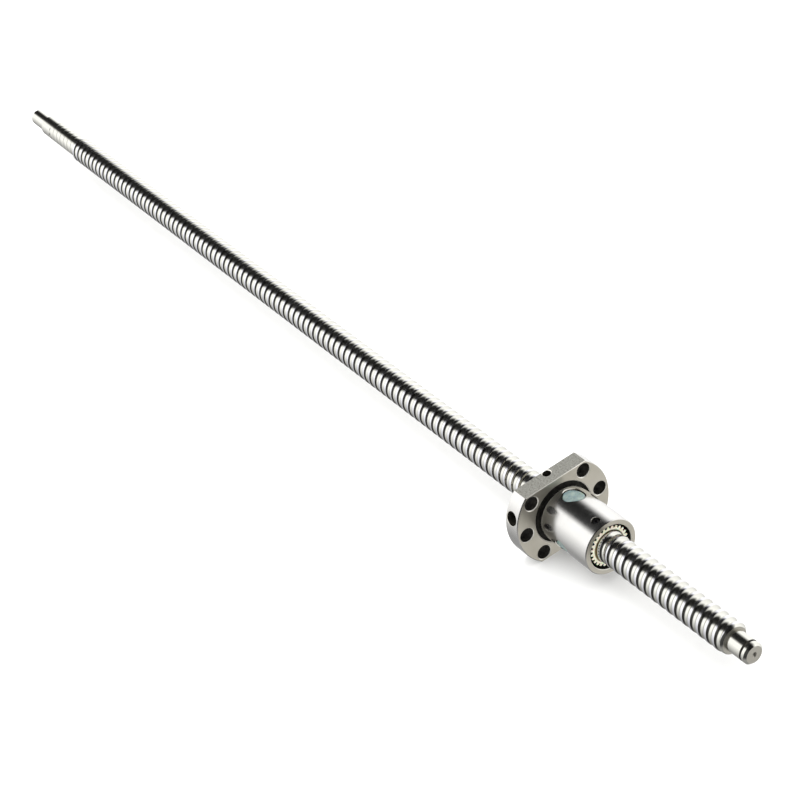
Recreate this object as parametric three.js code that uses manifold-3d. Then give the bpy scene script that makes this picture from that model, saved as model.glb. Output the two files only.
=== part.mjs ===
// Ball screw assembly: a rolled screw shaft with machined ends, and a flanged ball nut that holds
// three recirculating ball circuits, their return deflectors, two wipers and the wipers' set screws.
// Millimetres, +Z up. +X runs along the screw axis from the fixed end to the floating end, +Z is the
// direction that the wide flat of the flange faces, and the origin is on the axis at mid-length.

import * as THREE from 'three';
import { mergeVertices } from 'three/addons/utils/BufferGeometryUtils.js';
import Module from 'manifold-3d';

const wasm = await Module();
wasm.setup();

// ---- Driving dimensions: the screw -------------------------------------------------------------

const lead = 4;                    // travel of the nut in one turn, right-hand thread
const threadDiameter = 11.8;       // over the lands of a 12 mm rolled screw
const ballDiameter = 2.381;
const ballCircleDiameter = 12.4;   // through the centres of the balls
const ballClearance = 0.12;        // between a ball and either faceted track
const trackMouthWidth = 3;         // of a track, along the axis, where it meets the lands
const trackFloorWidth = 1.2;
const screwLength = 547;
const seatDiameter = 10;           // fixed-end bearing seat
const seatLength = 36.5;
const stubDiameter = 8;            // beyond the fixed-end bearing seat
const stubLength = 14.5;
const journalDiameter = 8;         // floating-end bearing journal
const journalLength = 9.3;
const clipGrooveDiameter = 7.6;    // retaining ring groove in the floating-end journal
const clipGrooveWidth = 0.9;
const clipGrooveOffset = 6.5;      // from the shoulder to the groove
const endChamfer = 0.8;
const centreHoleDiameter = 2;
const centreHoleDepth = 1.4;
const endOverlap = 2;              // how far a machined end runs inside the threaded length

// ---- Driving dimensions: the nut ---------------------------------------------------------------

const nutBackX = 165.6;            // flange back face at rest
const flangeDiameter = 40;
const flangeThickness = 7;
const flangeFlatWidth = 30;        // across the two flats
const nutDiameter = 21.5;
const nutLength = 34;              // over everything
const nutBoreDiameter = 12.9;
const neckDiameter = 20.4;         // undercut at the root of the body
const neckLength = 1.2;            // of the undercut, in front of the flange
const faceGrooveDiameter = 24;     // ring groove that the undercut cuts into the flange face
const faceGrooveDepth = 1.2;
const edgeChamfer = 0.3;
const boltCircleDiameter = 32.5;
const boltHoleDiameter = 5.5;
const boltAzimuths = [-135, -90, -45, 45, 90, 135];
const wiperRecessDiameter = 17.4;
const frontRecessDepth = 5;
const rearRecessDepth = 4;
const greasePortDiameter = 5.4;
const greasePortDepth = 6.5;
const greasePortX = 3.2;           // from the flange back face
const greasePortAzimuth = -68.9;   // between two bolt holes
const greasePassageDiameter = 1.2;
const greasePassageStartX = 3;     // at the port's floor, from the flange back face
const greasePassageEndX = 6.2;     // at the bore

// ---- Driving dimensions: the small pieces ------------------------------------------------------

const circuitCount = 3;
const ballsPerCircuit = 12;
const ballSpacing = 24.5;          // degrees around the axis between neighbouring balls
const circuitTurn = 120;           // degrees from one deflector to the next
const firstDeflectorX = 13.5;      // from the flange back face
const firstDeflectorAzimuth = 11;
const circuitPitch = lead + lead * circuitTurn / 360;
const deflectorLength = 8;
const deflectorWidth = 6.8;
const deflectorTilt = 30;          // of its long side, from the circumference towards the axis
const pocketClearance = 0.3;
const deflectorRecess = 0.15;      // of its outer face below the nut's round
const returnLift = 1.35;           // how far the return channel lifts a ball over a land
const returnHalfSweep = 52;        // degrees that the channel covers on either side of its middle
const wiperDiameter = 15.8;
const wiperBoreDiameter = 12.5;
const wiperToothCount = 27;
const wiperToothDepth = 0.9;
const toothRootEnd = 0.4;          // where a tooth's root, its tip and its far flank change over,
const toothTipStart = 0.55;        // as shares of the angle from one tooth to the next
const toothTipEnd = 0.85;
const wiperSetback = 0.8;          // of the front wiper below the nose face
const frontWiperWidth = 3.8;
const rearWiperWidth = 3.2;
const setScrewDiameter = 2.4;
const setScrewHoleDiameter = 3.2;
const setScrewSocketDiameter = 1.2;
const setScrewSocketDepth = 0.8;
const setScrewGap = 0.35;          // between a set screw's tip and its wiper
const frontSetScrewX = 29.9;       // from the flange back face
const frontSetScrewAzimuth = -6;
const frontSetScrewLength = 2;
const rearSetScrewX = 1.6;
const rearSetScrewLength = 3;

// ---- Fineness of the facets --------------------------------------------------------------------

const screwSides = 8;              // steps in one turn of the screw's thread
const nutTrackSides = 14;
const roundSides = 40;
const holeSides = 16;
const smallSides = 10;
const hexSides = 6;
const returnSteps = 5;             // along the channel, from its middle to either end
const spareTurns = 2;              // of thread beyond each plane that trims it
const mergeDistance = 1e-4;
const cutMargin = 1;               // how far a cutting tool runs past what it cuts

const materials = {
  screw: new THREE.MeshStandardMaterial({ color: 0xc9ccd0, roughness: 0.22, metalness: 1 }),
  nut: new THREE.MeshStandardMaterial({ color: 0xb7b4aa, roughness: 0.3, metalness: 1 }),
  wiper: new THREE.MeshStandardMaterial({ color: 0xe9e4d2, roughness: 0.55, metalness: 0 }),
  deflector: new THREE.MeshStandardMaterial({ color: 0xb9d3cc, roughness: 0.5, metalness: 0 }),
  ball: new THREE.MeshStandardMaterial({ color: 0xd8dadc, roughness: 0.08, metalness: 1 }),
  setScrew: new THREE.MeshStandardMaterial({ color: 0x1d1e20, roughness: 0.45, metalness: 0.9 }),
};

// ---- Solids ------------------------------------------------------------------------------------

function solidOf(geometry) {
  const bare = new THREE.BufferGeometry();
  bare.setAttribute('position', geometry.getAttribute('position'));
  bare.setIndex(geometry.index);
  const merged = mergeVertices(bare, mergeDistance);
  const corners = merged.index.array;
  const triangles = [];
  for (let i = 0; i < corners.length; i += 3) {
    const [a, b, c] = [corners[i], corners[i + 1], corners[i + 2]];
    if (a !== b && b !== c && c !== a) {
      triangles.push(a, b, c);
    }
  }
  return new wasm.Manifold(new wasm.Mesh({
    numProp: 3,
    vertProperties: new Float32Array(merged.getAttribute('position').array),
    triVerts: new Uint32Array(triangles),
  }));
}

function geometryOf(solid) {
  const mesh = solid.getMesh();
  const geometry = new THREE.BufferGeometry();
  geometry.setAttribute('position', new THREE.BufferAttribute(mesh.vertProperties, 3));
  geometry.setIndex(new THREE.BufferAttribute(mesh.triVerts, 1));
  const faceted = geometry.toNonIndexed();
  faceted.computeVertexNormals();
  return faceted;
}

function meshOf(name, solid, material) {
  const mesh = new THREE.Mesh(geometryOf(solid), material);
  mesh.name = name;
  return mesh;
}

// A solid of revolution about the X axis. The profile lists [x, radius] from the axis to the axis.
function turned(profile, sides = roundSides) {
  const points = profile.map(([x, radius]) => new THREE.Vector2(radius, x));
  const geometry = new THREE.LatheGeometry(points, sides);
  geometry.rotateZ(-Math.PI / 2);
  return solidOf(geometry);
}

function plainRod(from, to, radius, sides = roundSides) {
  return turned([[from, 0], [from, radius], [to, radius], [to, 0]], sides);
}

// Azimuth is measured in degrees from +Z towards +Y.
function turnToAzimuth(geometry, azimuth) {
  return geometry.rotateX(-THREE.MathUtils.degToRad(azimuth));
}

// A round bar that points straight out from the X axis.
function radialBar(x, azimuth, diameter, fromRadius, toRadius, sides = holeSides) {
  const length = toRadius - fromRadius;
  const bar = new THREE.CylinderGeometry(diameter / 2, diameter / 2, length, sides);
  bar.rotateX(Math.PI / 2);
  bar.translate(x, 0, fromRadius + length / 2);
  return solidOf(turnToAzimuth(bar, azimuth));
}

// A right-hand thread between two planes across the axis. The profile lists [x, radius] over one
// lead, with x measured from the middle of the track, and trackAtTop is where a track crosses +Z.
function threadedRod(profile, sides, from, to, trackAtTop) {
  const rows = [];
  const firstTurn = Math.floor((from - trackAtTop) / lead) - spareTurns;
  const lastTurn = Math.ceil((to - trackAtTop) / lead) + spareTurns;
  for (let turn = firstTurn; turn <= lastTurn; turn += 1) {
    for (const [x, radius] of profile) {
      rows.push([trackAtTop + turn * lead + x, radius]);
    }
  }

  // Row i turned through a whole turn is row i + step, so the surface is one unbroken spiral.
  const step = profile.length;
  const lastRow = rows.length - 1 - step;
  const positions = [];
  for (const [x, radius] of rows) {
    for (let side = 0; side < sides; side += 1) {
      const angle = side / sides * 2 * Math.PI;
      positions.push(x + lead * side / sides, -radius * Math.sin(angle), radius * Math.cos(angle));
    }
  }
  const vertex = (row, side) => (side === sides ? (row + step) * sides : row * sides + side);

  const index = [];
  for (let row = 0; row < lastRow; row += 1) {
    for (let side = 0; side < sides; side += 1) {
      const [a, b] = [vertex(row, side), vertex(row + 1, side)];
      const [c, d] = [vertex(row + 1, side + 1), vertex(row, side + 1)];
      index.push(a, c, b, a, d, c);
    }
  }

  // Each end is a fan from the axis to one turn of the spiral and back along the profile.
  const addEnd = (row, isStart) => {
    const rim = [];
    for (let side = 0; side <= sides; side += 1) {
      rim.push(vertex(row, side));
    }
    for (let back = step - 1; back > 0; back -= 1) {
      rim.push(vertex(row + back, 0));
    }
    const centre = positions.length / 3;
    positions.push(rows[row][0] + lead / 2, 0, 0);
    rim.forEach((corner, i) => {
      const next = rim[(i + 1) % rim.length];
      index.push(...(isStart ? [centre, next, corner] : [centre, corner, next]));
    });
  };
  addEnd(0, true);
  addEnd(lastRow, false);

  const geometry = new THREE.BufferGeometry();
  geometry.setAttribute('position', new THREE.Float32BufferAttribute(positions, 3));
  geometry.setIndex(index);
  return solidOf(geometry);
}

// ---- The ball tracks ---------------------------------------------------------------------------

const ballCircleRadius = ballCircleDiameter / 2;
const trackReach = ballDiameter / 2 + ballClearance;   // from the ball circle to a track's floor
const mouth = trackMouthWidth / 2;
const floor = trackFloorWidth / 2;

// Where the track crosses +Z, measured from the flange back face. A deflector stands over the land
// between two turns of its track, so the track is half a lead away from it.
const nutTrackAtTop = firstDeflectorX - lead / 2 + lead * firstDeflectorAzimuth / 360;

function trackProfile(landRadius, floorRadius) {
  return [[-mouth, landRadius], [-floor, floorRadius], [floor, floorRadius], [mouth, landRadius]];
}

// ---- Screw shaft -------------------------------------------------------------------------------

const screwStart = -screwLength / 2;
const stubEnd = screwStart + stubLength;
const threadStart = stubEnd + seatLength;
const threadEnd = screwLength / 2 - journalLength;
const screwEnd = screwLength / 2;

function screwThread() {
  const landRadius = threadDiameter / 2;
  const rod = threadedRod(trackProfile(landRadius, ballCircleRadius - trackReach), screwSides,
    threadStart, threadEnd, nutBackX + nutTrackAtTop);
  const trimRadius = landRadius + endChamfer;
  const rimRadius = landRadius - endChamfer;
  const bevel = trimRadius - rimRadius;
  return rod.intersect(turned([
    [threadStart, 0],
    [threadStart, rimRadius],
    [threadStart + bevel, trimRadius],
    [threadEnd - bevel, trimRadius],
    [threadEnd, rimRadius],
    [threadEnd, 0],
  ]));
}

function screwShaft() {
  const coreRadius = stubDiameter / 2 - endChamfer;
  const stub = stubDiameter / 2;
  const seat = seatDiameter / 2;
  const fixedEnd = turned([
    [screwStart + centreHoleDepth, 0],
    [screwStart, centreHoleDiameter / 2],
    [screwStart, stub - endChamfer],
    [screwStart + endChamfer, stub],
    [stubEnd, stub],
    [stubEnd, seat - edgeChamfer],
    [stubEnd + edgeChamfer, seat],
    [threadStart, seat],
    [threadStart, coreRadius],
    [threadStart + endOverlap, coreRadius],
    [threadStart + endOverlap, 0],
  ]);

  const journal = journalDiameter / 2;
  const grooveStart = threadEnd + clipGrooveOffset;
  const grooveEnd = grooveStart + clipGrooveWidth;
  const floatingEnd = turned([
    [threadEnd - endOverlap, 0],
    [threadEnd - endOverlap, coreRadius],
    [threadEnd, coreRadius],
    [threadEnd, journal],
    [grooveStart, journal],
    [grooveStart, clipGrooveDiameter / 2],
    [grooveEnd, clipGrooveDiameter / 2],
    [grooveEnd, journal],
    [screwEnd - endChamfer, journal],
    [screwEnd, journal - endChamfer],
    [screwEnd, centreHoleDiameter / 2],
    [screwEnd - centreHoleDepth, 0],
  ]);

  return meshOf('screw_shaft', screwThread().add(fixedEnd).add(floatingEnd), materials.screw);
}

// ---- Nut body ----------------------------------------------------------------------------------

function nutBlank() {
  const flange = flangeDiameter / 2;
  const body = nutDiameter / 2;
  const neck = neckDiameter / 2;
  const groove = faceGrooveDiameter / 2;
  const neckEnd = flangeThickness + neckLength;
  return turned([
    [0, 0],
    [0, flange - edgeChamfer],
    [edgeChamfer, flange],
    [flangeThickness - edgeChamfer, flange],
    [flangeThickness, flange - edgeChamfer],
    [flangeThickness, groove + edgeChamfer],
    [flangeThickness - edgeChamfer, groove],
    [flangeThickness - faceGrooveDepth, groove],
    [flangeThickness - faceGrooveDepth, neck],
    [neckEnd, neck],
    [neckEnd, body - edgeChamfer / 2],
    [neckEnd + edgeChamfer / 2, body],
    [nutLength - edgeChamfer, body],
    [nutLength, body - edgeChamfer],
    [nutLength, 0],
  ]);
}

// What lies outside one of the two flats of the flange.
function beyondFlat(direction) {
  const height = flangeDiameter;
  const box = new THREE.BoxGeometry(flangeThickness + 2 * cutMargin, flangeDiameter + 2 * cutMargin, height);
  box.translate(flangeThickness / 2, 0, direction * (flangeFlatWidth + height) / 2);
  return solidOf(box);
}

// The ball track and the bore. Its facets touch their round from outside, so the balls stay clear.
function nutBore() {
  const outside = 1 / Math.cos(Math.PI / nutTrackSides);
  const profile = trackProfile(nutBoreDiameter / 2 * outside, (ballCircleRadius + trackReach) * outside);
  const rod = threadedRod(profile, nutTrackSides, 0, nutLength, nutTrackAtTop);
  return rod.intersect(plainRod(rearRecessDepth - cutMargin, nutLength - frontRecessDepth + cutMargin,
    nutDiameter / 2, smallSides));
}

function wiperRecesses() {
  const radius = wiperRecessDiameter / 2;
  const rear = plainRod(-cutMargin, rearRecessDepth, radius);
  const front = plainRod(nutLength - frontRecessDepth, nutLength + cutMargin, radius);
  return rear.add(front);
}

function boltHole(azimuth) {
  const hole = new THREE.CylinderGeometry(boltHoleDiameter / 2, boltHoleDiameter / 2,
    flangeThickness + 2 * cutMargin, holeSides);
  hole.rotateZ(Math.PI / 2);
  hole.translate(flangeThickness / 2, 0, boltCircleDiameter / 2);
  return solidOf(turnToAzimuth(hole, azimuth));
}

// A tapped port in the rim, and a thin passage that slants from it to the first ball track.
function greasePort() {
  const rim = flangeDiameter / 2;
  const portFloor = rim - greasePortDepth;
  const port = radialBar(greasePortX, greasePortAzimuth, greasePortDiameter, portFloor, rim + cutMargin);
  const from = new THREE.Vector3(greasePassageStartX, 0, portFloor + cutMargin);
  const to = new THREE.Vector3(greasePassageEndX, 0, nutBoreDiameter / 2);
  const passage = new THREE.ExtrudeGeometry(roundShape(greasePassageDiameter / 2, smallSides), {
    steps: 1,
    bevelEnabled: false,
    extrudePath: new THREE.LineCurve3(from, to),
  });
  return port.add(solidOf(turnToAzimuth(passage, greasePortAzimuth)));
}

function setScrewHoles() {
  const innerRadius = wiperRecessDiameter / 2 - cutMargin;
  const front = radialBar(frontSetScrewX, frontSetScrewAzimuth, setScrewHoleDiameter, innerRadius,
    nutDiameter / 2 + cutMargin, smallSides);
  const rear = radialBar(rearSetScrewX, 0, setScrewHoleDiameter, innerRadius,
    flangeFlatWidth / 2 + cutMargin, smallSides);
  return front.add(rear);
}

function nutBody() {
  let solid = nutBlank();
  const cuts = [
    beyondFlat(1),
    beyondFlat(-1),
    nutBore(),
    wiperRecesses(),
    greasePort(),
    setScrewHoles(),
    ...boltAzimuths.map(boltHole),
  ];
  for (let circuit = 0; circuit < circuitCount; circuit += 1) {
    cuts.push(deflectorBlank(circuit, pocketClearance));
  }
  for (const cut of cuts) {
    solid = solid.subtract(cut);
  }
  return meshOf('nut_body', solid, materials.nut);
}

// ---- Return deflectors -------------------------------------------------------------------------

function deflectorX(circuit) {
  return firstDeflectorX + circuit * circuitPitch;
}

function deflectorAzimuth(circuit) {
  return firstDeflectorAzimuth - circuit * circuitTurn;
}

function roundShape(radius, sides) {
  const points = [];
  for (let i = 0; i < sides; i += 1) {
    const angle = i / sides * 2 * Math.PI;
    points.push(new THREE.Vector2(radius * Math.cos(angle), radius * Math.sin(angle)));
  }
  return new THREE.Shape(points);
}

// A bar with round ends, as wide and long as a deflector, that stands out from the screw's axis.
function deflectorBlank(circuit, allowance) {
  const radius = deflectorWidth / 2 + allowance;
  const reach = (deflectorLength - deflectorWidth) / 2;
  const outline = new THREE.Shape();
  outline.absarc(0, reach, radius, 0, Math.PI, false);
  outline.absarc(0, -reach, radius, Math.PI, 2 * Math.PI, false);
  const bar = new THREE.ExtrudeGeometry(outline, {
    depth: nutDiameter / 2,
    bevelEnabled: false,
    curveSegments: smallSides / 2,
  });
  bar.rotateZ(-THREE.MathUtils.degToRad(deflectorTilt));
  bar.translate(deflectorX(circuit), 0, threadDiameter / 4);
  return solidOf(turnToAzimuth(bar, deflectorAzimuth(circuit)));
}

// The channel that lifts the balls out of one turn of the track and drops them into the turn before.
function returnChannel(circuit) {
  const halfSweep = THREE.MathUtils.degToRad(returnHalfSweep);
  const points = [];
  for (let step = -returnSteps; step <= returnSteps; step += 1) {
    const along = step / returnSteps;
    const angle = along * halfSweep;
    const radius = ballCircleRadius + returnLift * Math.cos(along * Math.PI / 2) ** 2;
    const shift = -lead / 2 * Math.sin(along * Math.PI / 2) + lead * angle / (2 * Math.PI) * Math.abs(along);
    points.push(new THREE.Vector3(shift, -radius * Math.sin(angle), radius * Math.cos(angle)));
  }
  const channel = new THREE.ExtrudeGeometry(roundShape(trackReach, smallSides), {
    steps: 2 * returnSteps,
    bevelEnabled: false,
    extrudePath: new THREE.CatmullRomCurve3(points),
  });
  channel.translate(deflectorX(circuit), 0, 0);
  return solidOf(turnToAzimuth(channel, deflectorAzimuth(circuit)));
}

function returnDeflector(circuit) {
  const shell = plainRod(0, nutLength, nutDiameter / 2 - deflectorRecess)
    .subtract(plainRod(-cutMargin, nutLength + cutMargin, nutBoreDiameter / 2));
  const solid = deflectorBlank(circuit, 0).intersect(shell).subtract(returnChannel(circuit));
  return meshOf(`return_deflector_${circuit + 1}`, solid, materials.deflector);
}

// ---- Balls -------------------------------------------------------------------------------------

function ball(circuit, place) {
  const mesh = new THREE.Mesh(new THREE.IcosahedronGeometry(ballDiameter / 2, 1), materials.ball);
  const fromMiddle = (place - (ballsPerCircuit - 1) / 2) * ballSpacing;
  const angle = THREE.MathUtils.degToRad(180 + fromMiddle - deflectorAzimuth(circuit));
  mesh.name = `ball_${circuit + 1}_${String(place + 1).padStart(2, '0')}`;
  mesh.position.set(
    deflectorX(circuit) + lead * fromMiddle / 360,
    -ballCircleRadius * Math.sin(angle),
    ballCircleRadius * Math.cos(angle),
  );
  return mesh;
}

// ---- Wipers and their set screws ---------------------------------------------------------------

function frontWiper() {
  const tip = wiperDiameter / 2;
  const root = tip - wiperToothDepth;
  const corners = [[0, root], [toothRootEnd, root], [toothTipStart, tip], [toothTipEnd, tip]];
  const outline = new THREE.Shape();
  for (let tooth = 0; tooth < wiperToothCount; tooth += 1) {
    for (const [part, radius] of corners) {
      const angle = (tooth + part) / wiperToothCount * 2 * Math.PI;
      const point = [radius * Math.cos(angle), radius * Math.sin(angle)];
      if (tooth === 0 && part === 0) {
        outline.moveTo(...point);
      } else {
        outline.lineTo(...point);
      }
    }
  }
  outline.closePath();
  const ring = new THREE.ExtrudeGeometry(outline, { depth: frontWiperWidth, bevelEnabled: false });
  ring.rotateY(Math.PI / 2);
  ring.translate(nutLength - wiperSetback - frontWiperWidth, 0, 0);
  const bore = plainRod(0, nutLength + cutMargin, wiperBoreDiameter / 2, wiperToothCount);
  return meshOf('front_wiper', solidOf(ring).subtract(bore), materials.wiper);
}

function rearWiper() {
  const gap = (rearRecessDepth - rearWiperWidth) / 2;
  const ring = plainRod(gap, gap + rearWiperWidth, wiperDiameter / 2, wiperToothCount);
  const bore = plainRod(-cutMargin, rearRecessDepth + cutMargin, wiperBoreDiameter / 2, wiperToothCount);
  return meshOf('rear_wiper', ring.subtract(bore), materials.wiper);
}

function setScrew(name, x, azimuth, length) {
  const tip = wiperDiameter / 2 + setScrewGap;
  const head = tip + length;
  const screw = radialBar(x, azimuth, setScrewDiameter, tip, head, smallSides);
  const socket = radialBar(x, azimuth, setScrewSocketDiameter, head - setScrewSocketDepth, head + cutMargin,
    hexSides);
  return meshOf(name, screw.subtract(socket), materials.setScrew);
}

// ---- Assembly ----------------------------------------------------------------------------------

function ballNut() {
  const nut = new THREE.Group();
  nut.position.x = nutBackX;
  nut.add(nutBody(), frontWiper(), rearWiper());
  nut.add(setScrew('front_set_screw', frontSetScrewX, frontSetScrewAzimuth, frontSetScrewLength));
  nut.add(setScrew('rear_set_screw', rearSetScrewX, 0, rearSetScrewLength));
  for (let circuit = 0; circuit < circuitCount; circuit += 1) {
    nut.add(returnDeflector(circuit));
    for (let place = 0; place < ballsPerCircuit; place += 1) {
      nut.add(ball(circuit, place));
    }
  }
  return nut;
}

const assembly = new THREE.Group();
assembly.name = 'ball_screw_assembly';
assembly.add(screwShaft(), ballNut());

export default assembly;
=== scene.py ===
import math

import bmesh
import bpy
import numpy as np
from mathutils import Matrix, Vector


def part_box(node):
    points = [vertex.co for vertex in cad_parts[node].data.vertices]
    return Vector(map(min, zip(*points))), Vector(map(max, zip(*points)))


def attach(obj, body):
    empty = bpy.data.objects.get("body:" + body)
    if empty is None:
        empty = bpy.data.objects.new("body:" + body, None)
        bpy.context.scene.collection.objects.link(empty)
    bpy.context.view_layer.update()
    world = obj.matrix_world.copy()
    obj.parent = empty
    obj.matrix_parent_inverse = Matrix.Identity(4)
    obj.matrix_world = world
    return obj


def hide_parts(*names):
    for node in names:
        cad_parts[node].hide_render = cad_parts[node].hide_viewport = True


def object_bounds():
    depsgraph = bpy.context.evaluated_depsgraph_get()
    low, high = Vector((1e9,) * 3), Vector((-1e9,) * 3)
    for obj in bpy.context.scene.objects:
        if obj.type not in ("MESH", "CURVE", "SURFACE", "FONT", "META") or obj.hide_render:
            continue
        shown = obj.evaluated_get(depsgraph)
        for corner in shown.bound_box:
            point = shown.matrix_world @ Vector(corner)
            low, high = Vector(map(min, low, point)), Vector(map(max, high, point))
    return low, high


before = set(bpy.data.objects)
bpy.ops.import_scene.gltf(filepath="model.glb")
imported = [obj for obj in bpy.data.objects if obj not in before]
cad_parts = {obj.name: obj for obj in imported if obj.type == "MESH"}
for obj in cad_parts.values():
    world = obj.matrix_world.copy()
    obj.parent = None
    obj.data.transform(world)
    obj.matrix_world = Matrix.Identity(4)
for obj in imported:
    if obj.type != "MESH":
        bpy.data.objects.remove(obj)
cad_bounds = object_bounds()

# The looks of a ball screw assembly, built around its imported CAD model. Shapes are worked out in
# millimetres in the CAD frame and scaled to metres when a piece is made. +X runs along the screw to
# its floating end. An azimuth is an angle about the screw, in degrees from +Z towards +Y.

MM = 0.001
MICRON = 0.000001
PLANE_TOLERANCE = 1e-4             # within which a point counts as lying in a plane across X

# ---- Driving dimensions: the thread ------------------------------------------------------------

LEAD = 4.0
LAND_RADIUS = 5.9
BALL_CIRCLE_RADIUS = 6.2
TRACK_RADIUS = 1.40                # of the round ball track, seen across
TRACK_LIP_RADIUS = 0.25            # rolled edge between a track and a land
NUT_BORE_RADIUS = 6.45

# ---- Driving dimensions: the screw's ends ------------------------------------------------------

STUB_RADIUS = 4.0
STUB_LENGTH = 14.5
SEAT_RADIUS = 5.0
SEAT_LENGTH = 36.5
SMOOTH_SEAT_LENGTH = 9.0           # the rest of the seat keeps the floor of the rolled track
SMOOTH_SEAT_FADE = 1.2
JOURNAL_RADIUS = 4.0
JOURNAL_LENGTH = 9.3
CLIP_GROOVE_RADIUS = 3.8
CLIP_GROOVE_WIDTH = 0.9
CLIP_GROOVE_OFFSET = 6.5
END_CHAMFER = 0.8
SHOULDER_SLOPE = 0.02              # axial length of a square shoulder
CENTRE_HOLE_RADIUS = 1.0
CENTRE_HOLE_DEPTH = 1.4
POLE_RADIUS = 0.1                  # of the last ring before a closed end shrinks to a point
CHAMFER_RINGS = 5                  # rings of edges that trim the thread's end chamfers

# ---- Driving dimensions: the nut ---------------------------------------------------------------

FLANGE_THICKNESS = 7.0
NUT_RADIUS = 10.75
NECK_RADIUS = 10.2
NECK_LENGTH = 1.2
FACE_GROOVE_RADIUS = 12.0
FACE_GROOVE_DEPTH = 1.2
EDGE_CHAMFER = 0.3
FLAT_CHAMFER = 0.2
BOLT_CIRCLE_RADIUS = 16.25
BOLT_HOLE_RADIUS = 2.75
BOLT_AZIMUTHS = (-135, -90, -45, 45, 90, 135)
HOLE_CHAMFER = 0.28
SMALL_HOLE_CHAMFER = 0.1
RECESS_RADIUS = 8.7
FRONT_RECESS_DEPTH = 5.0
REAR_RECESS_DEPTH = 4.0
RECESS_CHAMFER = 0.2
GREASE_PORT_RADIUS = 2.7
GREASE_PORT_DEPTH = 6.5
GREASE_PORT_X = 3.2                # from the flange's back face
GREASE_PORT_AZIMUTH = -68.9
SET_SCREW_HOLE_RADIUS = 1.6
FRONT_SET_SCREW_X = 29.9           # from the flange's back face
FRONT_SET_SCREW_AZIMUTH = -6.0
REAR_SET_SCREW_X = 1.6

# ---- Driving dimensions: the small pieces ------------------------------------------------------

BALL_RADIUS = 1.1905
DEFLECTOR_COUNT = 3
FIRST_DEFLECTOR_X = 13.5           # from the flange's back face
FIRST_DEFLECTOR_AZIMUTH = 11.0
CIRCUIT_TURN = 120.0
CIRCUIT_PITCH = LEAD + LEAD * CIRCUIT_TURN / 360
DEFLECTOR_LENGTH = 8.0
DEFLECTOR_WIDTH = 6.8
DEFLECTOR_TILT = 30.0
DEFLECTOR_RECESS = 0.25
DEFLECTOR_EDGE = 0.45              # rounding of its outer rim
POCKET_CLEARANCE = 0.3
POCKET_CHAMFER_START = 10.4        # radius at which the pocket's countersink begins
RETURN_LIFT = 1.35
RETURN_HALF_SWEEP = 52.0
RETURN_CHANNEL_RADIUS = 1.31
WIPER_BORE_RADIUS = 6.25
WIPER_LIP_CLEARANCE = 0.3          # between its threaded lip and the screw
WIPER_TOOTH_COUNT = 27
WIPER_TOOTH_DEPTH = 0.9
WIPER_TOOTH = (0.0, 0.3, 0.45, 0.85, 1.0)   # shares of a pitch: root, flank, tip, flank
WIPER_CHAMFER = 0.18
SET_SCREW_RADIUS = 1.2
SET_SCREW_THREAD_PITCH = 0.4
SET_SCREW_THREAD_DEPTH = 0.1
SET_SCREW_SOCKET_RADIUS = 0.6
SET_SCREW_SOCKET_DEPTH = 0.8
SET_SCREW_GAP = 0.35               # between a set screw's tip and its wiper
FRONT_SET_SCREW_LENGTH = 2.0
REAR_SET_SCREW_LENGTH = 3.0

# ---- Fineness ----------------------------------------------------------------------------------

THREAD_COLUMNS = 48                # steps in one turn of the screw's thread
BORE_COLUMNS = 36
ROUND_SEGMENTS = 192
HOLE_SEGMENTS = 48
TRACK_STEPS = 10
LIP_STEPS = 4
OUTLINE_STEPS = 24                 # in each round end of a deflector
DEFLECTOR_RING_SHARES = (0.25, 0.5, 0.72)   # of the way from its middle to its rim
CHANNEL_STEPS = 16                 # from the middle of a return channel to either end
CHANNEL_SEGMENTS = 20
TOOTH_COLUMNS = 12
WIPER_BORE_ROWS = 20
BALL_SUBDIVISIONS = 4
HEX_SIDES = 6
SPARE_TURNS = 2                    # of thread beyond each plane that trims it
SHARP_ANGLE = 32.0
CUT_MARGIN = 1.0                   # how far a cutter runs past what it cuts

# ---- Places, from the frame --------------------------------------------------------------------


def box_mm(node):
    """A node's lowest and highest corners at rest, in millimetres."""
    low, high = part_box(node)
    return low / MM, high / MM


screw_low, screw_high = box_mm("screw_shaft")
nut_low, nut_high = box_mm("nut_body")
front_wiper_low, front_wiper_high = box_mm("front_wiper")
rear_wiper_low, rear_wiper_high = box_mm("rear_wiper")

screw_start = screw_low.x
screw_end = screw_high.x
stub_end = screw_start + STUB_LENGTH
thread_start = stub_end + SEAT_LENGTH
thread_end = screw_end - JOURNAL_LENGTH
nut_back = nut_low.x
nut_front = nut_high.x
flange_front = nut_back + FLANGE_THICKNESS
flange_radius = nut_high.y
flat_height = nut_high.z

# Where a track crosses the top of the screw: half a lead from the first deflector's land.
track_at_top = nut_back + FIRST_DEFLECTOR_X - LEAD / 2 + LEAD * FIRST_DEFLECTOR_AZIMUTH / 360


# ---- Node helpers for the materials ------------------------------------------------------------


NOISE_MIDDLE = (0.3, 0.7)          # most of a noise texture's values lie between these


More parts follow.
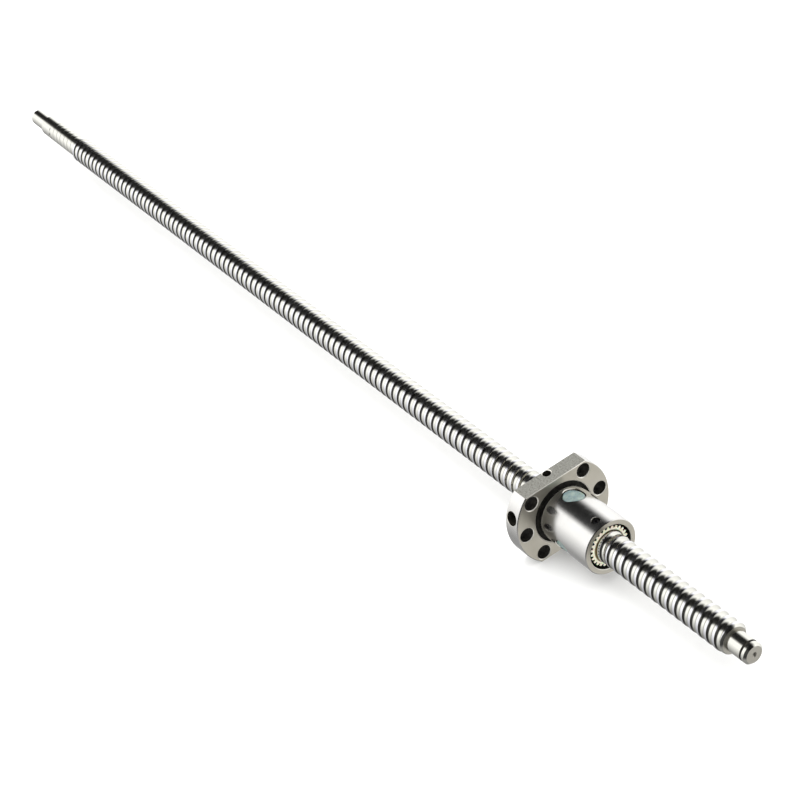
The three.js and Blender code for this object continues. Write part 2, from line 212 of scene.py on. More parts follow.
class Shader:
    """A node material with one Principled shader, and short calls for the nodes that feed it."""

    def __init__(self, name, colour, roughness, metallic=0.0, **sockets):
        self.material = bpy.data.materials.new(name)
        self.material.use_nodes = True
        self.nodes = self.material.node_tree.nodes
        self.links = self.material.node_tree.links
        self.principled = self.nodes["Principled BSDF"]
        self.set("Base Color", (*colour, 1.0))
        self.set("Roughness", roughness)
        self.set("Metallic", metallic)
        for socket, value in sockets.items():
            self.set(socket.replace("_", " "), value)
        self.coordinates = self.nodes.new("ShaderNodeTexCoord").outputs["Object"]
        self.bump = None

    def set(self, socket, value):
        """Sets one of the shader's own sockets to a constant."""
        self.principled.inputs[socket].default_value = value

    def link(self, source, socket):
        """Feeds one of the shader's sockets from a node."""
        self.links.new(source, self.principled.inputs[socket])

    def calculate(self, operation, *values):
        """A math node on values that are numbers or sockets."""
        node = self.nodes.new("ShaderNodeMath")
        node.operation = operation
        for socket, value in zip(node.inputs, values):
            self.feed(socket, value)
        return node.outputs[0]

    def feed(self, socket, value):
        """Links a socket to a value that is a socket, or sets it to a number."""
        if isinstance(value, bpy.types.NodeSocket):
            self.links.new(value, socket)
        else:
            socket.default_value = value

    def axis(self, name):
        """One coordinate in the CAD frame, in metres."""
        split = self.nodes.new("ShaderNodeSeparateXYZ")
        self.links.new(self.coordinates, split.inputs[0])
        return split.outputs[name]

    def radius(self):
        """Distance from the screw's axis, in metres."""
        across = self.calculate("MULTIPLY", self.axis("Y"), self.axis("Y"))
        up = self.calculate("MULTIPLY", self.axis("Z"), self.axis("Z"))
        return self.calculate("SQRT", self.calculate("ADD", across, up))

    def noise(self, scale, detail=3.0, stretch=(1.0, 1.0, 1.0)):
        """Cloudy variation; stretch squeezes it along an axis."""
        mapping = self.nodes.new("ShaderNodeMapping")
        self.links.new(self.coordinates, mapping.inputs["Vector"])
        mapping.inputs["Scale"].default_value = stretch
        node = self.nodes.new("ShaderNodeTexNoise")
        node.inputs["Scale"].default_value = scale
        node.inputs["Detail"].default_value = detail
        self.links.new(mapping.outputs[0], node.inputs["Vector"])
        return node.outputs["Fac"]

    def lines(self, distance, scale, detail=2.0):
        """Fine parallel marks that vary with one distance only, such as the feed of a tool."""
        node = self.nodes.new("ShaderNodeTexNoise")
        node.noise_dimensions = "1D"
        node.inputs["Scale"].default_value = scale
        node.inputs["Detail"].default_value = detail
        self.links.new(distance, node.inputs["W"])
        return node.outputs["Fac"]

    def ramp(self, value, low, high, to_low, to_high):
        """Maps low to high onto to_low to to_high, and holds it there beyond them."""
        node = self.nodes.new("ShaderNodeMapRange")
        numbers = (low, high, to_low, to_high)
        self.links.new(value, node.inputs["Value"])
        for name, number in zip(("From Min", "From Max", "To Min", "To Max"), numbers):
            node.inputs[name].default_value = number
        return node.outputs["Result"]

    def blend(self, factor, first, second):
        """Mixes two colours, each a socket or three numbers."""
        node = self.nodes.new("ShaderNodeMix")
        node.data_type = "RGBA"
        self.links.new(factor, node.inputs["Factor"])
        for socket, value in ((node.inputs[6], first), (node.inputs[7], second)):
            self.feed(socket, value if isinstance(value, bpy.types.NodeSocket) else (*value, 1.0))
        return node.outputs[2]

    def rough(self, value, low, high):
        """Lets the roughness wander between two levels with a noise."""
        self.link(self.ramp(value, *NOISE_MIDDLE, low, high), "Roughness")

    def raise_by(self, height, distance, strength=1.0):
        """Adds relief: distance, in metres, is how far a full step of height stands out."""
        node = self.nodes.new("ShaderNodeBump")
        node.inputs["Distance"].default_value = distance
        node.inputs["Strength"].default_value = strength
        self.links.new(height, node.inputs["Height"])
        if self.bump is not None:
            self.links.new(self.bump, node.inputs["Normal"])
        self.bump = node.outputs["Normal"]
        self.link(self.bump, "Normal")


# ---- Materials ---------------------------------------------------------------------------------


def screw_steel():
    """Rolled, hardened and polished steel; the cool white of the lands and the cream of the ball tracks
    below them are painted reflection, set by the radius.
    """
    shader = Shader("screw_steel", (0.60, 0.60, 0.59), 0.15, metallic=1.0)
    # Painted reflection: cream in the tracks and cool white on the lands, chosen by the radius.
    land = shader.ramp(shader.radius(), (LAND_RADIUS - 0.14) * MM, (LAND_RADIUS - 0.03) * MM, 0.0, 1.0)
    colour = shader.blend(land, (0.60, 0.595, 0.55), (0.64, 0.64, 0.67))
    smudge = shader.noise(160, detail=4.0)
    darker = shader.ramp(smudge, 0.35, 0.75, 0.0, 0.2)
    shader.link(shader.blend(darker, colour, (0.40, 0.39, 0.35)), "Base Color")
    shader.rough(shader.noise(420, stretch=(3.0, 1.0, 1.0)), 0.1, 0.2)
    shader.raise_by(shader.lines(shader.axis("X"), 9000), 1.2 * MICRON)
    return shader.material


def ground_steel():
    """The nut's round surfaces, ground around the axis and a little stained."""
    shader = Shader("nut_ground_steel", (0.6, 0.595, 0.575), 0.19, metallic=1.0)
    tone = shader.ramp(shader.noise(90, detail=5.0), 0.3, 0.75, 0.0, 0.26)
    shader.link(shader.blend(tone, (0.61, 0.605, 0.59), (0.45, 0.43, 0.39)), "Base Color")
    shader.rough(shader.noise(260, stretch=(4.0, 1.0, 1.0)), 0.17, 0.23)
    shader.raise_by(shader.lines(shader.axis("X"), 7000), 0.6 * MICRON)
    return shader.material


def turned_steel(name, light, dark):
    """The faces across the axis: a lathe's rings on a duller steel, whose warmer, darker base colour is
    partly painted shade.
    """
    shader = Shader(name, light, 0.38, metallic=0.9)
    tone = shader.ramp(shader.noise(110, detail=5.0), 0.3, 0.75, 0.0, 0.45)
    shader.link(shader.blend(tone, light, dark), "Base Color")
    rings = shader.lines(shader.radius(), 6000)
    shader.rough(rings, 0.3, 0.46)
    shader.raise_by(rings, 4 * MICRON)
    shader.raise_by(shader.noise(2600), 2 * MICRON)
    return shader.material


def milled_steel():
    """The flats of the flange: a fine even grain with a soft sheen."""
    shader = Shader("nut_milled_steel", (0.45, 0.445, 0.41), 0.5, metallic=0.6)
    grain = shader.noise(2400, detail=4.0, stretch=(1.0, 0.6, 1.0))
    tone = shader.ramp(grain, *NOISE_MIDDLE, 0.0, 1.0)
    shader.link(shader.blend(tone, (0.50, 0.495, 0.45), (0.20, 0.195, 0.17)), "Base Color")
    shader.rough(grain, 0.42, 0.56)
    shader.raise_by(grain, 9 * MICRON)
    return shader.material


def edge_steel():
    """The chamfers, the brightest metal on the nut: a painted highlight that keeps them light all round.
    """
    # Painted highlight: a bright base with much diffuse light, so the chamfers shine whichever way they
    # face.
    shader = Shader("nut_edge_steel_painted_highlight", (0.72, 0.70, 0.64), 0.34, metallic=0.55)
    shader.rough(shader.noise(900), 0.28, 0.4)
    shader.raise_by(shader.noise(3000), 1.5 * MICRON)
    return shader.material


def hollow_steel_painted_shade():
    """Inside holes, grooves and pockets: near black as painted shade, and scored by the drill."""
    # Painted shade: the base colour is close to black so the hollows read dark.
    shader = Shader("hollow_steel_painted_shade", (0.015, 0.014, 0.012), 0.6, metallic=0.05,
                    Specular_IOR_Level=0.1)
    tone = shader.ramp(shader.noise(700), 0.35, 0.7, 0.0, 1.0)
    shader.link(shader.blend(tone, (0.008, 0.0075, 0.006), (0.03, 0.028, 0.023)), "Base Color")
    shader.rough(shader.noise(1500), 0.5, 0.7)
    shader.raise_by(shader.lines(shader.axis("X"), 3200), 6 * MICRON)
    return shader.material


def wiper_nylon():
    """Ivory nylon, faintly mottled, with painted shade darkening it towards the bore."""
    shader = Shader("wiper_nylon", (0.84, 0.80, 0.66), 0.42, Subsurface_Weight=0.18,
                    Subsurface_Scale=0.0012)
    # Painted shade: the ivory darkens towards the bore.
    bore_shade = shader.ramp(shader.radius(), (WIPER_BORE_RADIUS - 0.1) * MM,
                            (WIPER_BORE_RADIUS + 0.15) * MM, 1.0, 0.0)
    mottle = shader.ramp(shader.noise(900), *NOISE_MIDDLE, 0.0, 0.25)
    ivory = shader.blend(mottle, (0.96, 0.91, 0.74), (0.84, 0.775, 0.58))
    shader.link(shader.blend(bore_shade, ivory, (0.16, 0.115, 0.045)), "Base Color")
    shader.rough(shader.noise(1500), 0.36, 0.52)
    shader.raise_by(shader.noise(2200), 8 * MICRON)
    return shader.material


def notch_shade_nylon():
    """Painted shade on the same nylon, round the toothed rim, where it shows between the teeth."""
    shader = Shader("wiper_nylon_painted_shade", (0.05, 0.042, 0.028), 0.5, Specular_IOR_Level=0.3)
    tone = shader.ramp(shader.noise(1200), *NOISE_MIDDLE, 0.0, 1.0)
    shader.link(shader.blend(tone, (0.028, 0.023, 0.015), (0.085, 0.072, 0.048)), "Base Color")
    shader.rough(shader.noise(1500), 0.4, 0.6)
    shader.raise_by(shader.noise(2200), 8 * MICRON)
    return shader.material


def deflector_plastic():
    """Pale blue-green moulded plastic, a little translucent."""
    shader = Shader("deflector_plastic", (0.22, 0.32, 0.31), 0.28, Subsurface_Weight=0.15,
                    Subsurface_Scale=0.001)
    cloud = shader.ramp(shader.noise(420, detail=4.0), *NOISE_MIDDLE, 0.0, 1.0)
    shader.link(shader.blend(cloud, (0.135, 0.19, 0.20), (0.27, 0.335, 0.295)), "Base Color")
    shader.rough(shader.noise(1300), 0.22, 0.38)
    shader.raise_by(shader.noise(1800), 6 * MICRON)
    return shader.material


def ball_steel():
    """Lapped bearing balls, close to a mirror."""
    shader = Shader("ball_steel", (0.66, 0.66, 0.67), 0.05, metallic=1.0)
    shader.rough(shader.noise(1500), 0.03, 0.08)
    tone = shader.ramp(shader.noise(800), 0.4, 0.8, 0.0, 0.15)
    shader.link(shader.blend(tone, (0.66, 0.66, 0.67), (0.5, 0.49, 0.46)), "Base Color")
    return shader.material


def set_screw_steel():
    """Black oxide, rubbed lighter where the key has been."""
    shader = Shader("set_screw_steel", (0.03, 0.03, 0.032), 0.38, metallic=0.85)
    rubbed = shader.ramp(shader.noise(2200), 0.56, 0.76, 0.0, 1.0)
    shader.link(shader.blend(rubbed, (0.02, 0.02, 0.022), (0.16, 0.155, 0.145)), "Base Color")
    shader.rough(shader.noise(2600), 0.25, 0.5)
    shader.raise_by(shader.noise(3000), 5 * MICRON)
    return shader.material


# The finish for holes, grooves and pockets is near-black painted shade, and the chamfers' finish is a
# painted highlight.
GROUND, TURNED, MILLED, EDGE, PAINTED_SHADE = range(5)
SCREW_ROUND, SCREW_FACE, SCREW_GROOVE = range(3)
# Both turned finishes carry painted shade in their darker, warmer base colours.
nut_face = turned_steel("nut_turned_steel", (0.50, 0.475, 0.41), (0.32, 0.295, 0.235))
screw_face = turned_steel("screw_turned_steel", (0.40, 0.385, 0.34), (0.27, 0.25, 0.21))
dark_steel = hollow_steel_painted_shade()
nut_finishes = (ground_steel(), nut_face, milled_steel(), edge_steel(), dark_steel)
screw_finishes = (screw_steel(), screw_face, dark_steel)
# The second nylon finish is painted shade for the notches between the wiper's teeth.
CLEAN, NOTCH_SHADE = range(2)
wiper_finishes = (wiper_nylon(), notch_shade_nylon())


# ---- Mesh helpers ------------------------------------------------------------------------------


def object_of(name, bm, materials, sharp=SHARP_ANGLE):
    """A new object from a bmesh in millimetres, smooth except across sharp edges."""
    bmesh.ops.scale(bm, vec=(MM, MM, MM), verts=bm.verts)
    mesh = bpy.data.meshes.new(name)
    bm.to_mesh(mesh)
    bm.free()
    for material in materials:
        mesh.materials.append(material)
    soften(mesh, sharp)
    piece = bpy.data.objects.new(name, mesh)
    bpy.context.scene.collection.objects.link(piece)
    return piece


def soften(mesh, sharp=SHARP_ANGLE):
    """Smooth shading that breaks at edges sharper than an angle in degrees."""
    mesh.shade_smooth()
    mesh.set_sharp_from_angle(angle=math.radians(sharp))


def circle(radius, segments):
    """Points (y, z) round the X axis, from +Z towards +Y."""
    for step in range(segments):
        angle = 2 * math.pi * step / segments
        yield radius * math.sin(angle), radius * math.cos(angle)


def skin(rings, finishes, closed=False):
    """A surface through rings of points; a ring of one point is a pole. finishes has one per gap."""
    bm = bmesh.new()
    loops = [[bm.verts.new(point) for point in ring] for ring in rings]
    if closed:
        loops.append(loops[0])
    for first, second, finish in zip(loops, loops[1:], finishes):
        count = max(len(first), len(second))
        for i in range(count):
            j = (i + 1) % count
            corners = (first[i % len(first)], second[i % len(second)],
                       second[j % len(second)], first[j % len(first)])
            face = bm.faces.new(list(dict.fromkeys(corners)))
            face.material_index = finish
    bmesh.ops.recalc_face_normals(bm, faces=bm.faces)
    return bm


def turned(profile, segments=ROUND_SEGMENTS):
    """A solid turned about X. Each row is x, radius and the finish from there to the next row."""
    rings = []
    for x, radius, _ in profile:
        if radius == 0:
            rings.append([(x, 0.0, 0.0)])
        else:
            rings.append([(x, y, z) for y, z in circle(radius, segments)])
    return skin(rings, [finish for _, _, finish in profile[:-1]])


def placed(bm, x, azimuth, spin=0.0):
    """Turns a shape so that its +Z points out of the screw's axis at that azimuth."""
    matrix = Matrix.Translation((x, 0, 0))
    matrix @= Matrix.Rotation(-math.radians(azimuth), 4, "X")
    matrix @= Matrix.Rotation(-math.radians(spin), 4, "Z")
    bmesh.ops.transform(bm, matrix=matrix, verts=bm.verts)
    return bm


def upright(bm):
    """Stands a shape turned about X up along +Z."""
    bmesh.ops.rotate(bm, matrix=Matrix.Rotation(-math.pi / 2, 3, "Y"), verts=bm.verts)
    return bm


def baked(piece, sharp=SHARP_ANGLE):
    """Applies the piece's modifiers to its mesh."""
    graph = bpy.context.evaluated_depsgraph_get()
    mesh = bpy.data.meshes.new_from_object(piece.evaluated_get(graph), depsgraph=graph)
    piece.modifiers.clear()
    piece.data = mesh
    soften(mesh, sharp)
    return piece


def cut_away(piece, cutters, materials):
    """Cuts each bmesh in cutters out of the piece; the cut faces keep the cutter's finish."""
    tools = []
    for cutter in cutters:
        tool = object_of("cutter", cutter, materials)
        tools.append(tool)
        modifier = piece.modifiers.new("cut", "BOOLEAN")
        modifier.operation = "DIFFERENCE"
        modifier.solver = "MANIFOLD"
        modifier.object = tool
    baked(piece)
    for tool in tools:
        bpy.data.objects.remove(tool)
    return piece


def finish_piece(piece, body, nodes):
    """Hangs the piece on its body's empty and hides the CAD nodes that it stands for."""
    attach(piece, body)
    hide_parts(*nodes)


# ---- The thread --------------------------------------------------------------------------------


def track_outline(land_radius, outward):
    """Points (x, radius) across one track and the land after it, from the track's first edge.

    outward is 1 on the screw, whose material lies inside the surface, and -1 in the nut."""
    land_gap = outward * (BALL_CIRCLE_RADIUS - land_radius)
    reach = TRACK_RADIUS + TRACK_LIP_RADIUS
    lip_centre_x = math.sqrt(reach ** 2 - (land_gap + TRACK_LIP_RADIUS) ** 2)
    lip_angle = math.asin(lip_centre_x / reach)
    lip_centre_r = land_radius - outward * TRACK_LIP_RADIUS
    half = []
    for step in range(TRACK_STEPS // 2 + 1):
        angle = lip_angle * step / (TRACK_STEPS // 2)
        half.append((TRACK_RADIUS * math.sin(angle),
                     BALL_CIRCLE_RADIUS - outward * TRACK_RADIUS * math.cos(angle)))
    for step in range(1, LIP_STEPS + 1):
        angle = lip_angle * (1 - step / LIP_STEPS)
        half.append((lip_centre_x - TRACK_LIP_RADIUS * math.sin(angle),
                     lip_centre_r + outward * TRACK_LIP_RADIUS * math.cos(angle)))
    return [(-x, radius) for x, radius in reversed(half[1:])] + half


def spiral(outline, columns, from_x, to_x, finish=0):
    """The skin of a right-hand thread that runs past both planes, as an open tube of faces."""
    first_turn = math.floor((from_x - track_at_top) / LEAD) - SPARE_TURNS
    last_turn = math.ceil((to_x - track_at_top) / LEAD) + SPARE_TURNS
    turns = np.arange(first_turn, last_turn)[:, None] * LEAD + track_at_top
    row_x = (turns + np.array([x for x, _ in outline])).ravel()
    row_radius = np.tile([radius for _, radius in outline], len(turns))
    phase = np.arange(columns) / columns
    x = row_x[:, None] + LEAD * phase
    y = -row_radius[:, None] * np.sin(2 * np.pi * phase)
    z = row_radius[:, None] * np.cos(2 * np.pi * phase)
    points = np.stack([x, y, z], axis=-1).reshape(-1, 3)

    # A row turned through one whole turn is the same row of the next turn.
    step = len(outline)
    row, column = np.meshgrid(np.arange(len(row_x) - 1 - step), np.arange(columns), indexing="ij")
    wraps = column == columns - 1
    beside = np.where(wraps, (row + step) * columns, row * columns + column + 1)
    here = row * columns + column
    quads = np.stack([here, beside, beside + columns, here + columns], axis=-1).reshape(-1, 4)
    used = np.unique(quads)
    mesh = bpy.data.meshes.new("spiral")
    mesh.from_pydata(points[used].tolist(), [], np.searchsorted(used, quads).tolist())
    bm = bmesh.new()
    bm.from_mesh(mesh)
    bpy.data.meshes.remove(mesh)
    for face in bm.faces:
        face.material_index = finish
    return bm


def ring_at(bm, x, keep=0):
    """Adds a ring of edges in the plane at x. keep -1 or 1 also deletes the far side of it."""
    faces = [face for face in bm.faces if keep or abs(face.verts[0].co.x - x) < LEAD]
    edges = dict.fromkeys(edge for face in faces for edge in face.edges)
    verts = dict.fromkeys(vert for face in faces for vert in face.verts)
    bmesh.ops.bisect_plane(bm, geom=[*verts, *edges, *faces], plane_co=(x, 0, 0), plane_no=(1, 0, 0),
                           clear_outer=keep == -1, clear_inner=keep == 1)


def limit_radius(bm, highest, lowest=((0.0, 0.0),)):
    """Keeps every point's radius between two turned profiles, each of rows of x and radius."""
    for vert in bm.verts:
        radius = math.hypot(vert.co.y, vert.co.z)
        top = np.interp(vert.co.x, [x for x, _ in highest], [r for _, r in highest])
        bottom = np.interp(vert.co.x, [x for x, _ in lowest], [r for _, r in lowest])
        wanted = min(max(radius, bottom), top)
        if wanted != radius:
            vert.co.y *= wanted / radius
            vert.co.z *= wanted / radius


def close_end(bm, x, rings, finish):
    """Fills the open end at x with rings of (x, radius), the last of which shrinks to a point."""
    edges = [e for e in bm.edges if e.is_boundary and abs(e.verts[0].co.x - x) < PLANE_TOLERANCE]
    for ring_x, radius in rings:
        made = bmesh.ops.extrude_edge_only(bm, edges=edges)["geom"]
        edges = [g for g in made if isinstance(g, bmesh.types.BMEdge)]
        verts = [g for g in made if isinstance(g, bmesh.types.BMVert)]
        for face in [g for g in made if isinstance(g, bmesh.types.BMFace)]:
            face.material_index = finish
        for vert in verts:
            shrink = radius / math.hypot(vert.co.y, vert.co.z)
            vert.co = (ring_x, vert.co.y * shrink, vert.co.z * shrink)
        edges = [e for e in edges if e.is_boundary]
    bmesh.ops.pointmerge(bm, verts=verts, merge_co=(rings[-1][0], 0, 0))


# ---- Screw shaft -------------------------------------------------------------------------------


def turned_limits():
    """The largest radius that the lathe has left at each x, from the fixed end to the floating."""
    rim = LAND_RADIUS - END_CHAMFER
    clip_start = thread_end + CLIP_GROOVE_OFFSET
    clip_end = clip_start + CLIP_GROOVE_WIDTH
    return [
        (screw_start, STUB_RADIUS - END_CHAMFER),
        (screw_start + END_CHAMFER, STUB_RADIUS),
        (stub_end - SHOULDER_SLOPE, STUB_RADIUS),
        (stub_end, SEAT_RADIUS - EDGE_CHAMFER),
        (stub_end + EDGE_CHAMFER, SEAT_RADIUS),
        (thread_start - SHOULDER_SLOPE, SEAT_RADIUS),
        (thread_start, rim),
        (thread_start + END_CHAMFER, LAND_RADIUS),
        (thread_end - END_CHAMFER, LAND_RADIUS),
        (thread_end, rim),
        (thread_end + SHOULDER_SLOPE, JOURNAL_RADIUS),
        (clip_start, JOURNAL_RADIUS),
        (clip_start + SHOULDER_SLOPE, CLIP_GROOVE_RADIUS),
        (clip_end - SHOULDER_SLOPE, CLIP_GROOVE_RADIUS),
        (clip_end, JOURNAL_RADIUS),
        (screw_end - END_CHAMFER, JOURNAL_RADIUS),
        (screw_end, JOURNAL_RADIUS - END_CHAMFER),
    ]


def screw_shaft():
    """The thread run past both ends, then trimmed and turned down to the ends' sizes."""
    bm = spiral(track_outline(LAND_RADIUS, 1), THREAD_COLUMNS, screw_start, screw_end, SCREW_ROUND)
    limits = turned_limits()
    ring_at(bm, screw_start, keep=1)
    ring_at(bm, screw_end, keep=-1)
    smooth_end = stub_end + SMOOTH_SEAT_LENGTH
    extra = [smooth_end, smooth_end + SMOOTH_SEAT_FADE]
    for step in range(1, CHAMFER_RINGS):
        inset = END_CHAMFER * step / CHAMFER_RINGS
        extra += [thread_start + inset, thread_end - inset]
    for x in [x for x, _ in limits[1:-1]] + extra:
        ring_at(bm, x)
    lowest = [(smooth_end, SEAT_RADIUS), (smooth_end + SMOOTH_SEAT_FADE, 0.0)]
    limit_radius(bm, limits, lowest)
    shoulders = [stub_end - SHOULDER_SLOPE / 2, thread_start - SHOULDER_SLOPE / 2,
                 thread_end + SHOULDER_SLOPE / 2]
    clip_start = thread_end + CLIP_GROOVE_OFFSET
    for face in bm.faces:
        x = face.calc_center_median().x
        if min(abs(x - shoulder) for shoulder in shoulders) < SHOULDER_SLOPE / 2:
            face.material_index = SCREW_FACE
        # Painted shade: the clip groove takes the near-black hollow finish.
        if clip_start < x < clip_start + CLIP_GROOVE_WIDTH:
            face.material_index = SCREW_GROOVE
    close_end(bm, screw_start, [(screw_start, CENTRE_HOLE_RADIUS),
                                (screw_start + CENTRE_HOLE_DEPTH, POLE_RADIUS)], SCREW_FACE)
    close_end(bm, screw_end, [(screw_end, CENTRE_HOLE_RADIUS),
                              (screw_end - CENTRE_HOLE_DEPTH, POLE_RADIUS)], SCREW_FACE)
    piece = object_of("ball_screw_shaft", bm, screw_finishes)
    finish_piece(piece, "screw", ["screw_shaft"])


# ---- Nut body ----------------------------------------------------------------------------------


def nut_blank():
    """The nut and its flange as turned, before any hole is cut."""
    groove_floor = flange_front - FACE_GROOVE_DEPTH
    neck_end = flange_front + NECK_LENGTH
    small = EDGE_CHAMFER / 2
    return turned([
        (nut_back, 0, TURNED),
        (nut_back, flange_radius - EDGE_CHAMFER, EDGE),
        (nut_back + EDGE_CHAMFER, flange_radius, GROUND),
        (flange_front - EDGE_CHAMFER, flange_radius, GROUND),
        (flange_front, flange_radius - EDGE_CHAMFER, TURNED),
        (flange_front, FACE_GROOVE_RADIUS + EDGE_CHAMFER, EDGE),
        # The face groove's wall and floor, and the step at the neck's end, take painted shade.
        (flange_front - EDGE_CHAMFER, FACE_GROOVE_RADIUS, PAINTED_SHADE),
        (groove_floor, FACE_GROOVE_RADIUS, PAINTED_SHADE),
        (groove_floor, NECK_RADIUS, GROUND),
        (neck_end, NECK_RADIUS, PAINTED_SHADE),
        (neck_end, NUT_RADIUS - small, EDGE),
        (neck_end + small, NUT_RADIUS, GROUND),
        (nut_front - EDGE_CHAMFER, NUT_RADIUS, GROUND),
        (nut_front, NUT_RADIUS - EDGE_CHAMFER, TURNED),
        (nut_front, 0, TURNED),
    ])


def beyond_flat(direction):
    """What lies outside one flat of the flange, with the flat's two edges broken."""
    slope = FLAT_CHAMFER + CUT_MARGIN
    top = flange_radius + CUT_MARGIN
    outline = [
        (nut_back - CUT_MARGIN, flat_height - slope),
        (nut_back + FLAT_CHAMFER, flat_height),
        (flange_front - FLAT_CHAMFER, flat_height),
        (flange_front + CUT_MARGIN, flat_height - slope),
        (flange_front + CUT_MARGIN, top),
        (nut_back - CUT_MARGIN, top),
    ]
    bm = bmesh.new()
    rows = [[bm.verts.new((x, side * top, direction * z)) for x, z in outline] for side in (-1, 1)]
    finishes = (EDGE, MILLED, EDGE, PAINTED_SHADE, PAINTED_SHADE, PAINTED_SHADE)
    for i, finish in enumerate(finishes):
        j = (i + 1) % len(outline)
        bm.faces.new((rows[0][i], rows[0][j], rows[1][j], rows[1][i])).material_index = finish
    for row in rows:
        bm.faces.new(row)
    bmesh.ops.recalc_face_normals(bm, faces=bm.faces)
    return bm


def through_hole(radius, start, end, chamfer, finish=PAINTED_SHADE):
    """A cutter along X for a hole with both mouths broken, from start to end."""
    wide = radius + chamfer + CUT_MARGIN
    return turned([
        (start - CUT_MARGIN, 0, EDGE),
        (start - CUT_MARGIN, wide, EDGE),
        (start + chamfer, radius, finish),
        (end - chamfer, radius, EDGE),
        (end + CUT_MARGIN, wide, EDGE),
        (end + CUT_MARGIN, 0, EDGE),
    ], HOLE_SEGMENTS)


def bolt_hole(azimuth):
    """A cutter for one hole of the flange."""
    bm = through_hole(BOLT_HOLE_RADIUS, 0, FLANGE_THICKNESS, HOLE_CHAMFER)
    bmesh.ops.translate(bm, vec=(0, 0, BOLT_CIRCLE_RADIUS), verts=bm.verts)
    return placed(bm, nut_back, azimuth)


def radial_hole(x, azimuth, radius, floor, surface, chamfer):
    """A cutter that points out of the axis, from its floor to past the surface it breaks."""
    bm = turned([
        (floor, 0, PAINTED_SHADE),
        (floor, radius, PAINTED_SHADE),
        (surface - chamfer, radius, EDGE),
        (surface + CUT_MARGIN, radius + chamfer + CUT_MARGIN, EDGE),
        (surface + CUT_MARGIN, 0, EDGE),
    ], HOLE_SEGMENTS)
    return placed(upright(bm), x, azimuth)


def recess(mouth, direction, depth):
    """A wiper's recess, cut into the nut from the face at mouth."""
    wide = RECESS_RADIUS + RECESS_CHAMFER + CUT_MARGIN
    return turned([
        (mouth + direction * CUT_MARGIN, 0, EDGE),
        (mouth + direction * CUT_MARGIN, wide, EDGE),
        (mouth - direction * RECESS_CHAMFER, RECESS_RADIUS, PAINTED_SHADE),
        (mouth - direction * depth, RECESS_RADIUS, PAINTED_SHADE),
        (mouth - direction * depth, 0, PAINTED_SHADE),
    ])


def nut_bore():
    """The bore with its ball track, from one wiper recess to the other."""
    start = nut_back + REAR_RECESS_DEPTH - CUT_MARGIN
    end = nut_front - FRONT_RECESS_DEPTH + CUT_MARGIN
    bm = spiral(track_outline(NUT_BORE_RADIUS, -1), BORE_COLUMNS, start, end, PAINTED_SHADE)
    ring_at(bm, start, keep=1)
    ring_at(bm, end, keep=-1)
    for x in (start, end):
        close_end(bm, x, [(x, NUT_BORE_RADIUS / 2), (x, POLE_RADIUS)], PAINTED_SHADE)
    return bm


def nut_body():
    """The turned blank with its flats, bore, recesses, holes and pockets cut."""
    piece = object_of("ball_nut_body", nut_blank(), nut_finishes)
    rim = flange_radius
    # The cut walls take near-black painted shade, and their chamfers a painted highlight.
    cutters = [
        beyond_flat(1),
        beyond_flat(-1),
        nut_bore(),
        recess(nut_front, 1, FRONT_RECESS_DEPTH),
        recess(nut_back, -1, REAR_RECESS_DEPTH),
        radial_hole(nut_back + GREASE_PORT_X, GREASE_PORT_AZIMUTH, GREASE_PORT_RADIUS,
                    rim - GREASE_PORT_DEPTH, rim, HOLE_CHAMFER),
        radial_hole(nut_back + REAR_SET_SCREW_X, 0, SET_SCREW_HOLE_RADIUS, RECESS_RADIUS - CUT_MARGIN,
                    flat_height, HOLE_CHAMFER),
        radial_hole(nut_back + FRONT_SET_SCREW_X, FRONT_SET_SCREW_AZIMUTH, SET_SCREW_HOLE_RADIUS,
                    RECESS_RADIUS - CUT_MARGIN, NUT_RADIUS, SMALL_HOLE_CHAMFER),
        *[bolt_hole(azimuth) for azimuth in BOLT_AZIMUTHS],
        *[deflector_pocket(circuit) for circuit in range(DEFLECTOR_COUNT)],
    ]
    cut_away(piece, cutters, nut_finishes)
    finish_piece(piece, "nut", ["nut_body"])


# ---- Return deflectors -------------------------------------------------------------------------


def deflector_place(bm, circuit):
    """Moves a shape made at the top of the axis to one circuit's deflector."""
    return placed(bm, nut_back + FIRST_DEFLECTOR_X + circuit * CIRCUIT_PITCH,
                  FIRST_DEFLECTOR_AZIMUTH - circuit * CIRCUIT_TURN)


def deflector_outline(growth, height=None, drum_radius=None):
    """A bar with round ends, growth larger all round, at one height or draped over a drum.

    The drum lies along the screw, so the outline is given its tilt before it is draped."""
    radius = DEFLECTOR_WIDTH / 2 + growth
    reach = (DEFLECTOR_LENGTH - DEFLECTOR_WIDTH) / 2
    tilt = Matrix.Rotation(-math.radians(DEFLECTOR_TILT), 2)
    points = []
    for end, start in ((1, 0.0), (-1, math.pi)):
        for step in range(OUTLINE_STEPS + 1):
            angle = start + math.pi * step / OUTLINE_STEPS
            flat = Vector((radius * math.cos(angle), radius * math.sin(angle) + end * reach))
            spot = tilt @ flat
            z = height if drum_radius is None else math.sqrt(drum_radius ** 2 - spot.y ** 2)
            points.append((spot.x, spot.y, z))
    return points


def deflector_pocket(circuit):
    """The pocket that a deflector sits in: walls in dark painted shade, and a countersink at its mouth
    bright with painted highlight.
    """
    inside = BALL_CIRCLE_RADIUS - CUT_MARGIN
    outside = NUT_RADIUS + CUT_MARGIN
    wide = POCKET_CLEARANCE + outside - POCKET_CHAMFER_START
    rings = [
        [(0, 0, inside)],
        deflector_outline(POCKET_CLEARANCE, inside),
        deflector_outline(POCKET_CLEARANCE, POCKET_CHAMFER_START),
        deflector_outline(wide, outside),
        [(0, 0, outside)],
    ]
    return deflector_place(skin(rings, (PAINTED_SHADE, PAINTED_SHADE, EDGE, EDGE)), circuit)


